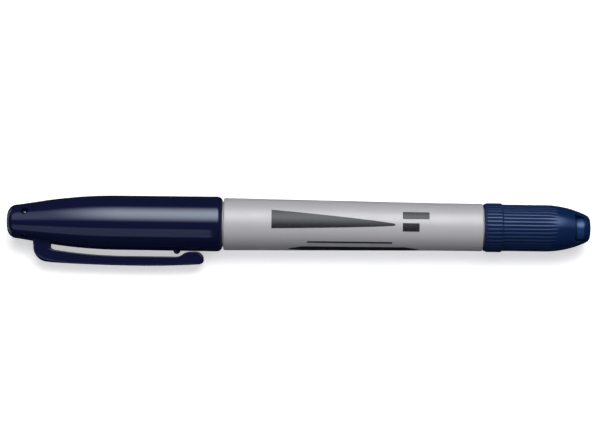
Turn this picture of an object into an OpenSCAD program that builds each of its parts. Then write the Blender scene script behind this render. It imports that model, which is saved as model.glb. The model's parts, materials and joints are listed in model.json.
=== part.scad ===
// Twin-tip felt marker: tapered barrel, large cap with a spring clip over the fine tip,
// small ribbed cap over the ultra-fine tip. The marker lies on its large cap and its clip.
// Every piece is drawn along its own axis from the crown end (station 0), then laid down.

/* [Overall] */
// Length over both caps
overall_l = 140; // [136:0.5:146]
// Radial running clearance between a cap and the part it slides over
run_gap = 0.05; // [0.03:0.01:0.08]

/* [Main cap] */
// Length of the main cap, crown to mouth
cap_l = 51.75; // [50:0.05:53]
// Radius of the main cap at its mouth
cap_r = 6.6; // [6.4:0.05:6.8]
// Growth of its radius over the straight part, towards the mouth
cap_draft = 0.07; // [0:0.01:0.1]
// Radius of the long curve from the crown to the straight part
cap_curve_r = 116; // [110:1:130]
// Station where the long curve becomes straight
cap_straight_s = 27; // [26:0.5:28]
// Rounding of the crown's corner
crown_round = 2.35; // [2:0.05:2.6]
// Rounding of the outer edge at the mouth
mouth_round = 1.3; // [0.5:0.05:1.4]
// Wall thickness at the mouth
mouth_wall = 1.1; // [1:0.05:1.15]

/* [Clip] */
// Width of the clip across the cap
clip_w = 4.6; // [4:0.1:5.2]
// Greatest distance of the clip's outer face from the axis
clip_out = 10.25; // [10.1:0.05:10.5]
// Thickness of the clip at its middle
clip_t = 2.25; // [2:0.05:2.4]
// Station of the bridge that joins the clip to the cap
bridge_s = 6.38; // [6.2:0.02:6.5]
// Station of the clip's tip
clip_tip_s = 47.25; // [46.5:0.05:47.5]
// Clearance between the ball on the clip and the cap
ball_gap = 0.1; // [0.1:0.05:0.3]

/* [Barrel] */
// Radius of the barrel beside the main cap
barrel_r = 6.28; // [6.1:0.01:6.3]
// Radius of the straight stretch beside the small cap
barrel_thin_r = 5.7; // [5.6:0.01:5.75]
// Length of that straight stretch
barrel_thin_l = 9.5; // [7:0.5:12]

/* [Small cap] */
// Length of the small cap
small_l = 25.6; // [25:0.1:26]
// Radius of its collar over the rib crests
collar_r = 5.9; // [5.8:0.01:5.95]
// Radius of its body over the rib crests
grip_r = 5.6; // [5.5:0.01:5.65]
// Number of ribs
rib_count = 36; // [34:1:42]
// Depth of the valleys between the ribs
rib_depth = 0.2; // [0.15:0.01:0.3]
// Radius of the long curve of its nose
nose_curve_r = 23.3; // [22:0.1:25]
// Angle round the axis from the middle of each window in the nose to its side
window_half_a = 49.5; // [45:0.5:55]

/* [Tips] */
// Radius of the fine nib
fine_nib_r = 1.35; // [1.2:0.05:1.5]
// Radius of the ultra-fine nib
ultra_nib_r = 0.4; // [0.35:0.05:0.45]

/* [Hidden] */

turn_fn = 96;
cut = 0.5;
// Small bevels on turned edges
edge_break = 0.3;
lead_in = 0.4;

// Stations along the axis, from the crown of the main cap
small_s = overall_l - small_l;
barrel_s = cap_l + 0.25;
barrel_end_s = small_s - 0.2;
fine_neck_s = 42;
land_s = 34;
cone_s = 26;
fine_tip_s = 21.5;
ultra_neck_s = small_s + 5.1;
ultra_land_s = ultra_neck_s + 0.8;
ultra_cone_s = ultra_land_s + 4.2;
ultra_nose_s = ultra_cone_s + 5;
ferrule_s = ultra_nose_s + 2.4;
ferrule_hold = 4;
ultra_tip_s = ferrule_s + 1.6;
core_s = 50;
core_end_s = 110;
core_hole = 4;
fine_plug_s = core_s - 0.5;
ultra_plug_s = core_end_s + 2.5;

// Radii inside
bore_r = 4.6;
film_t = 0.1;
core_r = bore_r - 0.1 - film_t;
fine_neck_r = cap_r - mouth_wall - run_gap;
ultra_neck_r = 4.8;
ultra_bore_r = 3.9;
ultra_plug_hole_r = 2.6;
land_r = 4;
ultra_land_r = 3.3;
ferrule_r = 0.85;

// Main cap: the cone behind the crown, the hollow and its neck, the lugs and the clip's stop
crown_cone_s = 7;
crown_cone_slope = 0.16;
crown_t = 1.4;
cap_hollow_r = 5.2;
crown_hollow_r = 3.2;
hollow_cone_s = 6;
hollow_neck_s = 12.5;
hollow_neck_r = 4.3;
hollow_wide_s = 19;
hollow_wide_r = 5;
liner_t = 0.75;
pip_s = 4.4;
pip_hole_r = 0.9;
pip_r = 0.6;
pip_h = 1.24;
pip_phase = 9.2;
nub_s = 40.8;
nub_r = 0.85;
nub_w = 2.6;

// Clip: the bow of its outer face, the curve of its underside, its root, bridge and tip
bow_s = 32;
bow_r = 420;
bow_tip_r = 200;
under_r = 117;
under_s = 28.5;
under_d = clip_out - clip_t;
root_s = 12.2;
root_r = (clip_out - bow_drop(root_s) - under_at(root_s)) / 2;
root_d = under_at(root_s) + root_r;
root_gap = 0.05;
root_cover = 0.8;
slot_s = 10.33;
slot_round = 0.6;
bridge_round = 3.6;
bridge_side_d = 6;
bridge_foot_d = 2;
ball_r = 3.2;
ball_s = clip_tip_s - 3.05;
ball_d = cap_r + ball_gap + ball_r;
ball_foot_s = ball_s - 3.8;
shoulder_r = 1.95;
tip_r = 1.05;

// Small cap
lip_l = 0.6;
collar_l = 4.3;
grip_end_s = small_s + 17.5;
nose_s = overall_l - 11;
nose_round = 1.6;
nose_round_r = grip_r - nose_curve_r
  + sqrt(pow(nose_curve_r - nose_round, 2) - pow(overall_l - nose_round - nose_s, 2));
nose_round_a = acos((overall_l - nose_round - nose_s) / (nose_curve_r - nose_round));
small_hollow_r = 4.35;
nose_hollow_r = 3.05;
nose_hollow_s = overall_l - 3.5;
nose_neck_s = overall_l - 5.2;
nose_neck_r = 4;
nose_end_wall = 1.1;
window_s = overall_l - 3.9;
window_l = 2.5;
window_slant = 0.4;
window_ledge = 0.25;
window_bottom = 1;

// One rib from valley to valley: share of the pitch, share of the depth
rib_corners = [[0, 1], [0.18, 0.36], [0.38, 0], [0.62, 0], [0.82, 0.36]];

// How the marker lies: the clip's lower outer edge and the cap both touch the ground
rest_reach = sqrt(pow(clip_out, 2) + pow(clip_w / 2, 2));
rest_roll = asin(cap_r / rest_reach) - atan(clip_w / 2 / clip_out);
clip_reach_y = clip_out * cos(rest_roll) + clip_w / 2 * sin(rest_roll);
axis_y = (clip_reach_y - cap_r) / 2;

navy = [0.03, 0.06, 0.19];
grey = [0.68, 0.68, 0.71];
pale = [0.75, 0.76, 0.78];
clear = [0.9, 0.92, 0.95];
ink_blue = [0.02, 0.04, 0.2];

// Points of an arc about [cs, cr], in degrees
function arc(cs, cr, r, a0, a1, n) =
  [for (i = [0:n]) [cs + r * cos(a0 + (a1 - a0) * i / n), cr + r * sin(a0 + (a1 - a0) * i / n)]];

// Points of a smooth bend from a to b whose tangents meet at c
function bend(a, c, b, n) =
  [for (i = [1:n]) let (t = i / n) a * pow(1 - t, 2) + c * 2 * t * (1 - t) + b * pow(t, 2)];

// Outer radius of the main cap: a cone behind the crown, a long curve, then a slight draft
function cap_curve(s) =
  cap_r - cap_draft - cap_curve_r + sqrt(pow(cap_curve_r, 2) - pow(cap_straight_s - s, 2));
function cap_at(s) =
  s < crown_cone_s ? cap_curve(crown_cone_s) - (crown_cone_s - s) * crown_cone_slope
  : s < cap_straight_s ? cap_curve(s)
  : cap_r - cap_draft * (cap_l - s) / (cap_l - cap_straight_s);

// Drop of the clip's bowed outer face from its highest line
function bow_drop(s) = pow(s - bow_s, 2) / (2 * (s < bow_s ? bow_r : bow_tip_r));

// Distance of the clip's underside from the axis
function under_at(s) = under_d - (s < under_s ? pow(under_s - s, 2) / (2 * under_r) : 0);

// Outer radius of the small cap's nose over the rib crests
function nose_at(s) = grip_r - nose_curve_r + sqrt(pow(nose_curve_r, 2) - pow(s - nose_s, 2));

// Lays the upright marker down in its resting attitude
module lay() {
  translate([-overall_l / 2, axis_y, cap_r])
    rotate([rest_roll, 0, 0])
      children();
}

// A turned solid: points are [station, radius]
module turned(points) {
  rotate([0, 90, 0])
    rotate_extrude($fn = turn_fn)
      polygon([for (p = points) [p[1], p[0]]]);
}

// A plate across the clip: points are [station, distance from the axis]
module plate(points, w) {
  rotate([180, 0, 0])
    translate([0, 0, -w / 2])
      linear_extrude(w)
        polygon(points);
}

// A round bar across the clip
module cross_bar(s, d, r, w) {
  translate([s, -d, -w / 2])
    cylinder(h = w, r = r, $fn = 48);
}

module barrel() {
  edge = 0.45;
  step_l = 1;
  color(grey) lay() difference() {
    turned(concat(
      [[fine_neck_s, 0], [fine_neck_s, fine_neck_r - edge_break], [fine_neck_s + edge_break, fine_neck_r]],
      [[barrel_s, fine_neck_r]],
      arc(barrel_s + edge, barrel_r - edge, edge, 180, 90, 6),
      [[barrel_end_s - barrel_thin_l, barrel_thin_r]],
      arc(barrel_end_s - edge_break, barrel_thin_r - edge_break, edge_break, 90, 0, 5),
      [[barrel_end_s, ultra_neck_r], [ultra_neck_s - edge_break, ultra_neck_r]],
      [[ultra_neck_s, ultra_neck_r - edge_break], [ultra_neck_s, 0]]
    ));
    turned([
      [fine_neck_s - cut, 0], [fine_neck_s - cut, bore_r], [core_end_s + step_l, bore_r],
      [core_end_s + 2 * step_l, ultra_bore_r], [ultra_neck_s + cut, ultra_bore_r], [ultra_neck_s + cut, 0]
    ]);
  }
}

module fine_tip_section() {
  flange_r = bore_r + 0.4;
  flange_s = fine_neck_s - 1;
  flange_edge = 0.2;
  nose_r = fine_nib_r + 0.55;
  nose_taper = 0.15;
  nose_l = 2;
  land_edge = 0.1;
  funnel_r = fine_nib_r + 1.4;
  funnel_l = 2;
  color(grey) lay() difference() {
    turned([
      [cone_s, 0], [cone_s, nose_r], [cone_s + nose_l, nose_r + nose_taper], [land_s, land_r - land_edge],
      [land_s + edge_break, land_r], [flange_s, land_r], [flange_s, flange_r - flange_edge],
      [flange_s + flange_edge, flange_r], [fine_neck_s, flange_r], [fine_neck_s, bore_r],
      [fine_plug_s - lead_in, bore_r], [fine_plug_s, bore_r - lead_in], [fine_plug_s, 0]
    ]);
    turned([
      [cone_s - cut, 0], [cone_s - cut, fine_nib_r], [fine_plug_s - 2 * funnel_l, fine_nib_r],
      [fine_plug_s - funnel_l, funnel_r], [fine_plug_s + cut, funnel_r], [fine_plug_s + cut, 0]
    ]);
  }
}

module fine_nib() {
  point_r = 0.6;
  point_l = 3.2;
  tail_s = core_s + core_hole;
  color(ink_blue) lay()
    turned(concat(
      [[fine_tip_s, 0]],
      arc(fine_tip_s + point_r, 0, point_r, 165, 110, 5),
      [[fine_tip_s + point_l, fine_nib_r], [tail_s - edge_break, fine_nib_r]],
      [[tail_s, fine_nib_r - edge_break], [tail_s, 0]]
    ));
}

module ink_reservoir() {
  color(ink_blue) lay() difference() {
    turned([[core_s, 0], [core_s, core_r], [core_end_s, core_r], [core_end_s, 0]]);
    turned([
      [core_s - cut, 0], [core_s - cut, fine_nib_r], [core_s + core_hole, fine_nib_r], [core_s + core_hole, 0]
    ]);
    turned([
      [core_end_s - core_hole, 0], [core_end_s - core_hole, ultra_nib_r],
      [core_end_s + cut, ultra_nib_r], [core_end_s + cut, 0]
    ]);
  }
}

module reservoir_film() {
  color(clear) lay()
    turned([
      [core_s, core_r], [core_s, core_r + film_t], [core_end_s, core_r + film_t], [core_end_s, core_r]
    ]);
}

module ultra_fine_section() {
  flange_r = ultra_bore_r + 0.6;
  flange_edge = 0.2;
  land_edge = 0.1;
  nose_r = ferrule_r + 0.4;
  nib_hole_r = ultra_nib_r + 0.1;
  hole_l = 5;
  funnel_l = 2;
  hold_s = ultra_nose_s - ferrule_hold;
  color(grey) lay() difference() {
    turned([
      [ultra_plug_s, 0], [ultra_plug_s, ultra_bore_r - lead_in], [ultra_plug_s + lead_in, ultra_bore_r],
      [ultra_neck_s, ultra_bore_r], [ultra_neck_s, flange_r], [ultra_land_s - flange_edge, flange_r],
      [ultra_land_s, flange_r - flange_edge], [ultra_land_s, ultra_land_r],
      [ultra_cone_s - edge_break, ultra_land_r], [ultra_cone_s, ultra_land_r - land_edge],
      [ultra_nose_s, nose_r], [ultra_nose_s, 0]
    ]);
    turned([
      [ultra_plug_s - cut, 0], [ultra_plug_s - cut, ultra_plug_hole_r],
      [ultra_plug_s + hole_l, ultra_plug_hole_r], [ultra_plug_s + hole_l + funnel_l, nib_hole_r],
      [hold_s, nib_hole_r], [hold_s, ferrule_r], [ultra_nose_s + cut, ferrule_r], [ultra_nose_s + cut, 0]
    ]);
  }
}

module ultra_fine_ferrule() {
  taper_l = 1.2;
  rim_t = 0.1;
  rim_edge = 0.06;
  hold_s = ultra_nose_s - ferrule_hold;
  color(pale) lay()
    turned([
      [hold_s, ultra_nib_r], [hold_s, ferrule_r], [ferrule_s - taper_l, ferrule_r],
      [ferrule_s - rim_t, ultra_nib_r + rim_t + rim_edge], [ferrule_s, ultra_nib_r + rim_t],
      [ferrule_s, ultra_nib_r]
    ]);
}

module ultra_fine_nib() {
  point_r = 0.2;
  point_l = 0.7;
  color(ink_blue) lay()
    turned(concat(
      [[core_end_s - core_hole, 0], [core_end_s - core_hole, ultra_nib_r]],
      [[ultra_tip_s - point_l, ultra_nib_r]],
      arc(ultra_tip_s - point_r, 0, point_r, 60, 10, 4),
      [[ultra_tip_s, 0]]
    ));
}

// Outside of the main cap, without the clip
module cap_outside() {
  curve_s = crown_round + 0.4;
  crown_r = cap_at(curve_s) - crown_round - 0.05;
  turned(concat(
    [[0, 0]],
    arc(crown_round, crown_r, crown_round, 180, 98, 10),
    [[curve_s, cap_at(curve_s)]],
    [for (i = [0:14]) let (s = crown_cone_s + (cap_straight_s - crown_cone_s) * i / 14) [s, cap_at(s)]],
    arc(cap_l - mouth_round, cap_r - mouth_round, mouth_round, 90, 15, 6),
    [[cap_l, cap_r - mouth_wall], [cap_l, 0]]
  ));
}

module cap_hollow() {
  bore = cap_r - mouth_wall;
  bore_s = fine_neck_s - 4;
  wide_s = 26;
  mouth_bevel = 0.15;
  turned([
    [crown_t, 0], [crown_t, crown_hollow_r], [hollow_cone_s, crown_hollow_r], [hollow_neck_s, hollow_neck_r],
    [hollow_wide_s, hollow_wide_r], [wide_s, cap_hollow_r], [bore_s, cap_hollow_r],
    [bore_s + edge_break, bore], [cap_l - mouth_bevel, bore], [cap_l, bore + mouth_bevel],
    [cap_l + cut, bore + mouth_bevel], [cap_l + cut, 0]
  ]);
}

module main_cap_shell() {
  joint_s = root_s - root_cover;
  color(navy) lay() difference() {
    union() {
      cap_outside();
      plate(concat(
        [[bridge_s, bridge_foot_d]],
        arc(bridge_s + bridge_round, bridge_side_d, bridge_round, 180, 96, 10),
        [[joint_s, clip_out - bow_drop(joint_s)]],
        [[joint_s, under_at(joint_s)], [slot_s + edge_break, under_at(slot_s)]],
        arc(slot_s + slot_round, under_at(slot_s) - slot_round, slot_round, 130, 180, 6),
        [[slot_s, bridge_foot_d]]
      ), clip_w);
      cross_bar(nub_s, cap_at(nub_s), nub_r, nub_w);
    }
    cap_hollow();
    cross_bar(root_s, root_d, root_r + root_gap, clip_w + 2 * cut);
    for (a = [45:90:315])
      rotate([a + pip_phase, 0, 0])
        translate([pip_s, 0, crown_hollow_r - cut])
          cylinder(h = 3, r = pip_hole_r, $fn = 32);
  }
}

module main_cap_liner() {
  nose_r = crown_hollow_r - run_gap;
  neck_r = hollow_neck_r - 2 * run_gap;
  skirt_r = land_r + run_gap + liner_t;
  mouth_s = land_s + 3;
  inside_shift = 0.2;
  dome = 0.12;
  color(navy) lay() union() {
    difference() {
      turned([
        [crown_t, 0], [crown_t, nose_r], [hollow_cone_s, nose_r], [hollow_neck_s, neck_r],
        [hollow_wide_s, skirt_r], [mouth_s, skirt_r], [mouth_s, 0]
      ]);
      turned([
        [crown_t + liner_t, 0], [crown_t + liner_t, nose_r - liner_t],
        [hollow_cone_s + inside_shift, nose_r - liner_t], [hollow_neck_s + inside_shift, neck_r - liner_t],
        [hollow_wide_s, land_r + run_gap], [mouth_s + cut, land_r + run_gap], [mouth_s + cut, 0]
      ]);
    }
    for (a = [45:90:315])
      rotate([a + pip_phase, 0, 0])
        translate([pip_s, 0, nose_r - edge_break])
          rotate_extrude($fn = 32)
            polygon([
              [0, 0], [pip_r, 0], [pip_r, pip_h - 2 * dome], [pip_r - dome, pip_h - dome / 2], [0, pip_h]
            ]);
  }
}

module clip_arm() {
  n = 14;
  tip_s = clip_tip_s - tip_r;
  tip_d = clip_out - bow_drop(tip_s) - tip_r;
  foot_a = 228;
  foot = [ball_s + ball_r * cos(foot_a), ball_d + ball_r * sin(foot_a)];
  foot_c = [foot[0] + (under_d - foot[1]) * tan(foot_a + 90), under_d];
  color(navy) lay() union() {
    plate(concat(
      [for (i = [0:n]) let (s = root_s + (tip_s - root_s) * i / n) [s, clip_out - bow_drop(s)]],
      arc(tip_s, tip_d, tip_r, 80, 0, 8),
      arc(clip_tip_s - shoulder_r, cap_r + ball_gap + shoulder_r, shoulder_r, 0, -90, 10),
      arc(ball_s, ball_d, ball_r, 270, foot_a, 8),
      bend(foot, foot_c, [ball_foot_s, under_d], 5),
      [for (i = [1:n]) let (s = ball_foot_s + (root_s - ball_foot_s) * i / n) [s, under_at(s)]]
    ), clip_w);
    cross_bar(root_s, root_d, root_r, clip_w);
  }
}

// Ribbed outline: facetted round ribs with sharp valleys, one valley at the top
module ribbed(r) {
  polygon([
    for (i = [0:rib_count - 1], k = rib_corners)
      let (a = 360 * (i + k[0]) / rib_count, d = rib_depth * k[1])
        [(r - d) * cos(a), (r - d) * sin(a)]
  ]);
}

module rib_band(r, s0, s1) {
  translate([s0, 0, 0])
    rotate([0, 90, 0])
      linear_extrude(s1 - s0)
        ribbed(r);
}

// Outside of the small cap over the rib crests, from s0 to the nose
module small_cap_outside(s0) {
  round_s = overall_l - nose_round;
  nose_end = round_s + nose_round * cos(nose_round_a);
  n = 10;
  turned(concat(
    [[s0, 0], [s0, grip_r]],
    [for (i = [0:n]) let (s = nose_s + (nose_end - nose_s) * i / n) [s, nose_at(s)]],
    arc(round_s, nose_round_r, nose_round, nose_round_a - 10, 8, 5),
    [[overall_l, nose_round_r - edge_break], [overall_l, 0]]
  ));
}

// One window: cut straight down past the hollow, its near side slanting and its far side with a ledge
module window() {
  out = 2 * cut;
  in = 2;
  end = window_s + window_l;
  ledge_r = nose_at(end) - run_gap;
  half = nose_at(window_s) * sin(window_half_a);
  end_half = nose_at(end) * sin(window_half_a);
  taper = (half - end_half) / window_l * out;
  intersection() {
    turned([
      [window_s + window_slant * in, nose_at(window_s) - in],
      [window_s - window_slant * out, nose_at(window_s) + out],
      [end, nose_at(window_s) + out], [end, ledge_r], [end - window_ledge, ledge_r],
      [end - window_ledge, nose_at(window_s) - in]
    ]);
    translate([0, 0, window_bottom])
      linear_extrude(grip_r)
        polygon([
          [window_s - out, -half - taper], [end + out, taper - end_half],
          [end + out, end_half - taper], [window_s - out, half + taper]
        ]);
  }
}

module small_cap_shell() {
  bore = ultra_neck_r + run_gap;
  root = grip_r - rib_depth;
  collar_root = collar_r - rib_depth + run_gap;
  rib_s = small_s + lip_l;
  step_s = small_s + collar_l;
  hollow_s = overall_l - nose_end_wall;
  bore_end_s = ultra_neck_s + edge_break;
  color(navy) lay() difference() {
    union() {
      turned([
        [small_s, 0], [small_s, collar_root - edge_break], [small_s + edge_break, collar_root],
        [step_s - edge_break, collar_root], [step_s, root - cut], [step_s, 0]
      ]);
      rib_band(collar_r, rib_s, step_s);
      intersection() {
        rib_band(grip_r, step_s - edge_break, overall_l + cut);
        small_cap_outside(step_s - lip_l);
      }
    }
    turned(concat(
      [[small_s - cut, 0], [small_s - cut, bore + edge_break], [small_s, bore + edge_break]],
      [[small_s + lead_in, bore], [bore_end_s, bore], [bore_end_s + cut, small_hollow_r]],
      [[grip_end_s, small_hollow_r], [nose_neck_s, nose_neck_r], [nose_hollow_s, nose_hollow_r]],
      [[hollow_s, nose_hollow_r], [hollow_s, 0]]
    ));
    window();
    rotate([180, 0, 0])
      window();
  }
}

module small_cap_liner() {
  mouth_s = ultra_land_s + 1;
  end_s = overall_l - nose_end_wall;
  skirt_r = 4;
  seal_r = ultra_land_r + run_gap;
  wall = 0.7;
  waist_r = 2.9;
  waist_s = grip_end_s - 1;
  nose_r = nose_hollow_r - run_gap;
  color(navy) lay() difference() {
    turned([
      [mouth_s, 0], [mouth_s, skirt_r], [grip_end_s, skirt_r], [nose_neck_s, nose_neck_r - 2 * run_gap],
      [nose_hollow_s, nose_r], [end_s, nose_r], [end_s, 0]
    ]);
    turned([
      [mouth_s - cut, 0], [mouth_s - cut, seal_r], [ultra_cone_s + 1, seal_r], [waist_s, waist_r],
      [nose_neck_s, waist_r], [nose_hollow_s, nose_r - wall], [end_s - wall, nose_r - wall],
      [end_s - wall, 0]
    ]);
  }
}

barrel();
fine_tip_section();
fine_nib();
ink_reservoir();
reservoir_film();
ultra_fine_section();
ultra_fine_ferrule();
ultra_fine_nib();
main_cap_shell();
main_cap_liner();
clip_arm();
small_cap_shell();
small_cap_liner();
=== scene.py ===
import json
import math

import bmesh
import bpy
from mathutils import Matrix, Vector


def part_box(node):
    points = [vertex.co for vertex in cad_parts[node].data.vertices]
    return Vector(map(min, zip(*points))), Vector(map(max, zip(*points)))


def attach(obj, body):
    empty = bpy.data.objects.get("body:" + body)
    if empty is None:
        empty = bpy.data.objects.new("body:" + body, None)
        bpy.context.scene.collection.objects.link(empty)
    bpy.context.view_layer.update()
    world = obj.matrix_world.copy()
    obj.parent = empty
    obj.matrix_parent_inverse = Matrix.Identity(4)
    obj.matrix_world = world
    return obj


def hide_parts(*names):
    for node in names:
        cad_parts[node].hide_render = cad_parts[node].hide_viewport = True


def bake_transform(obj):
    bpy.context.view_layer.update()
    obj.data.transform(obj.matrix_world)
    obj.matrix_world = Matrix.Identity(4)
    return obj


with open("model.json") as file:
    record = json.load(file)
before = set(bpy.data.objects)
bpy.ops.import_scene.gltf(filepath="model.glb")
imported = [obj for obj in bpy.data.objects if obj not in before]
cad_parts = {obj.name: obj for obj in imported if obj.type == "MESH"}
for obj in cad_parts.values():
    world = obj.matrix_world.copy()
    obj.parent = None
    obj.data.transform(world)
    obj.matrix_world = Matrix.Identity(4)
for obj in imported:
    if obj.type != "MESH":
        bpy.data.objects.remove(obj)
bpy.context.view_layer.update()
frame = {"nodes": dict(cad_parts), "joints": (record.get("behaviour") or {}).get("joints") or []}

MM = 0.001

# ---------------------------------------------------------------- places from the frame
hinge = next(j for j in frame["joints"] if j["name"] == "clip_flex")
ROLL = math.atan2(hinge["axis"][1], -hinge["axis"][2])
liner_low, liner_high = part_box("small_cap_liner")
AXIS_Y = (liner_low.y + liner_high.y) / 2
AXIS_Z = (liner_low.z + liner_high.z) / 2
CROWN_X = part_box("main_cap_shell")[0].x


def station(x):
    """Station in millimetres of a place along the frame's X."""
    return (x - CROWN_X) / MM


def stations(node):
    """Stations of the two ends of a CAD node."""
    low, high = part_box(node)
    return station(low.x), station(high.x)


CAP_L = stations("main_cap_shell")[1]
BARREL_L0, BARREL_L1 = stations("barrel")
SMALL_S, OVERALL = stations("small_cap_shell")
CAP_R = (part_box("main_cap_shell")[1].z - AXIS_Z) / MM
COLLAR_R = (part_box("small_cap_shell")[1].z - AXIS_Z) / MM
BARREL_R = (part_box("barrel")[1].z - AXIS_Z) / MM

ROLLED = Matrix.Rotation(ROLL, 4, "X")
LAY = Matrix.Translation((CROWN_X, AXIS_Y, AXIS_Z)) @ ROLLED @ Matrix.Scale(MM, 4)
TOWARDS_CAMERA = Matrix.Rotation(ROLL, 3, "X") @ Vector((0, 0, 1))
IMAGE_UP = Matrix.Rotation(ROLL, 3, "X") @ Vector((0, 1, 0))

# ---------------------------------------------------------------- camera
FIELD_W = 144.33 * MM
DISTANCE = 0.56
TILT = math.radians(0.76)
SENSOR_W = 36
AIM_S, AIM_Y = 70.32, 0.51
AIM = LAY @ Vector((AIM_S, AIM_Y, 0))


def make_camera():
    """A camera square to the clip, turned by the photograph's slight tilt."""
    right = Vector((math.cos(TILT), 0, 0)) + IMAGE_UP * math.sin(TILT)
    up = TOWARDS_CAMERA.cross(right).normalized()
    turn = Matrix((right, up, TOWARDS_CAMERA)).transposed()
    data = bpy.data.cameras.new("camera")
    data.sensor_width = SENSOR_W
    data.lens = SENSOR_W * DISTANCE / FIELD_W
    data.clip_start = 0.01
    camera = bpy.data.objects.new("camera", data)
    camera.matrix_world = Matrix.Translation(AIM + TOWARDS_CAMERA * DISTANCE) @ turn.to_4x4()
    bpy.context.scene.collection.objects.link(camera)
    bpy.context.scene.camera = camera


make_camera()


# ---------------------------------------------------------------- outlines
def arc(cs, cr, radius, a0, a1, steps):
    """Points of an arc about (cs, cr), angles in degrees from +s towards +r."""
    angles = [math.radians(a0 + (a1 - a0) * i / steps) for i in range(steps + 1)]
    return [(cs + radius * math.cos(a), cr + radius * math.sin(a)) for a in angles]


def rounded(corners, steps=4):
    """A chain of (s, r) or (s, r, fillet radius) corners, with its fillets drawn as curves."""
    points = []
    for i, corner in enumerate(corners):
        if len(corner) == 2 or i in (0, len(corners) - 1):
            points.append(Vector(corner[:2]))
            continue
        here = Vector(corner[:2])
        back = Vector(corners[i - 1][:2]) - here
        ahead = Vector(corners[i + 1][:2]) - here
        half = back.angle(ahead) / 2
        reach = min(corner[2] / math.tan(half), back.length * 0.49, ahead.length * 0.49)
        start = here + back.normalized() * reach
        end = here + ahead.normalized() * reach
        for k in range(steps + 1):
            t = k / steps
            points.append(start * (1 - t) ** 2 + here * 2 * t * (1 - t) + end * t * t)
    return [tuple(p) for p in points]


def smooth(t):
    """Eases from 0 to 1."""
    t = min(1, max(0, t))
    return t * t * (3 - 2 * t)


# ---------------------------------------------------------------- mesh tools
SHARP_ANGLE = 32
SLIVER = 0.002 * MM


def shade(mesh, sharp_angle=SHARP_ANGLE):
    """Shades smooth, but keeps edges that turn by more than an angle in degrees sharp."""
    mesh.shade_smooth()
    mesh.set_sharp_from_angle(angle=math.radians(sharp_angle))


def make_piece(name, bm, sharp_angle=SHARP_ANGLE):
    """Turns a bmesh in marker millimetres into a piece laid in the frame."""
    bmesh.ops.recalc_face_normals(bm, faces=bm.faces)
    mesh = bpy.data.meshes.new(name)
    bm.to_mesh(mesh)
    bm.free()
    mesh.transform(LAY)
    shade(mesh, sharp_angle)
    piece = bpy.data.objects.new(name, mesh)
    bpy.context.scene.collection.objects.link(piece)
    return piece


def add_lathe(bm, profile, around, closed=True, radius=None):
    """Turns a profile of (s, r) points about the axis. radius(s, r, a) may shape it as it goes round."""
    rings = []
    for s, r in profile:
        if r < 1e-6:
            rings.append([bm.verts.new((s, 0, 0))])
            continue
        ring = []
        for i in range(around):
            a = 2 * math.pi * i / around
            rr = radius(s, r, a) if radius else r
            ring.append(bm.verts.new((s, rr * math.sin(a), rr * math.cos(a))))
        rings.append(ring)
    pairs = list(zip(rings, rings[1:]))
    if closed and len(rings[0]) > 1:
        pairs.append((rings[-1], rings[0]))
    for a, b in pairs:
        for i in range(around):
            j = (i + 1) % around
            corners = [a[i % len(a)], a[j % len(a)], b[j % len(b)], b[i % len(b)]]
            unique = list(dict.fromkeys(corners))
            if len(unique) > 2:
                bm.faces.new(unique)
    return bm


def lathe(name, profile, around=144, closed=True, radius=None):
    """A piece turned about the marker's axis."""
    return make_piece(name, add_lathe(bmesh.new(), profile, around, closed, radius))


def circle(bm, centre, side, other, radius, around):
    """A ring of vertices about a centre, in the plane of two directions at right angles."""
    angles = [2 * math.pi * i / around for i in range(around)]
    return [bm.verts.new(centre + (side * math.cos(a) + other * math.sin(a)) * radius) for a in angles]


def skin(bm, loops, capped=True):
    """Joins each closed loop of vertices to the next, and caps the first and the last."""
    for a, b in zip(loops, loops[1:]):
        for i in range(len(a)):
            j = (i + 1) % len(a)
            bm.faces.new((a[i], a[j], b[j], b[i]))
    if capped:
        bm.faces.new(loops[0])
        bm.faces.new(loops[-1])


def add_cylinder(bm, start, end, radius, around=48):
    """A closed round bar between two points, for cutting."""
    axis = (end - start).normalized()
    side = axis.orthogonal().normalized()
    other = axis.cross(side)
    skin(bm, [circle(bm, centre, side, other, radius, around) for centre in (start, end)])


def cut_away(piece, cutter_mesh):
    """Subtracts the cutter from the piece, applies it, and merges the slivers that the cut leaves."""
    cutter = make_piece("cutter", cutter_mesh)
    modifier = piece.modifiers.new("cut", "BOOLEAN")
    modifier.operation = "DIFFERENCE"
    modifier.solver = "EXACT"
    modifier.object = cutter
    graph = bpy.context.evaluated_depsgraph_get()
    mesh = bpy.data.meshes.new_from_object(piece.evaluated_get(graph))
    piece.modifiers.clear()
    old = piece.data
    piece.data = mesh
    bpy.data.meshes.remove(old)
    bpy.data.objects.remove(cutter)
    bm = bmesh.new()
    bm.from_mesh(mesh)
    bmesh.ops.remove_doubles(bm, verts=bm.verts, dist=SLIVER)
    bmesh.ops.dissolve_degenerate(bm, edges=bm.edges, dist=SLIVER)
    bm.to_mesh(mesh)
    bm.free()
    shade(mesh)


# ---------------------------------------------------------------- ribs of the small cap
# The cap's shape and the material of its grooves both read these.
RIBS = 36
RIB_STEPS = 12
RIB_DEPTH = 0.2
GRIP_R = 5.6
LIP_L = 0.6
COLLAR_END = SMALL_S + 4.3
GRIP_START = SMALL_S + 4.65
GRIP_END = SMALL_S + 17.5
NOSE_S = OVERALL - 11
NOSE_CURVE_R = 23.3
GROOVE_EDGE = (0.01 * MM, 0.06 * MM)
GROOVE_FADE = ((NOSE_S + 3) * MM, (NOSE_S + 4) * MM)
GROOVE_ROUGH = 0.7
# Painted shade: a darker colour for the grooves, standing in for the shade that falls between the ribs.
GROOVE_PAINTED_SHADE = (0.0015, 0.01, 0.045, 1)


# ---------------------------------------------------------------- materials
def new_material(name):
    """A node material, with its nodes, links and shader."""
    material = bpy.data.materials.new(name)
    material.use_nodes = True
    nodes, links = material.node_tree.nodes, material.node_tree.links
    return material, nodes, links, nodes["Principled BSDF"]


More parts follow.
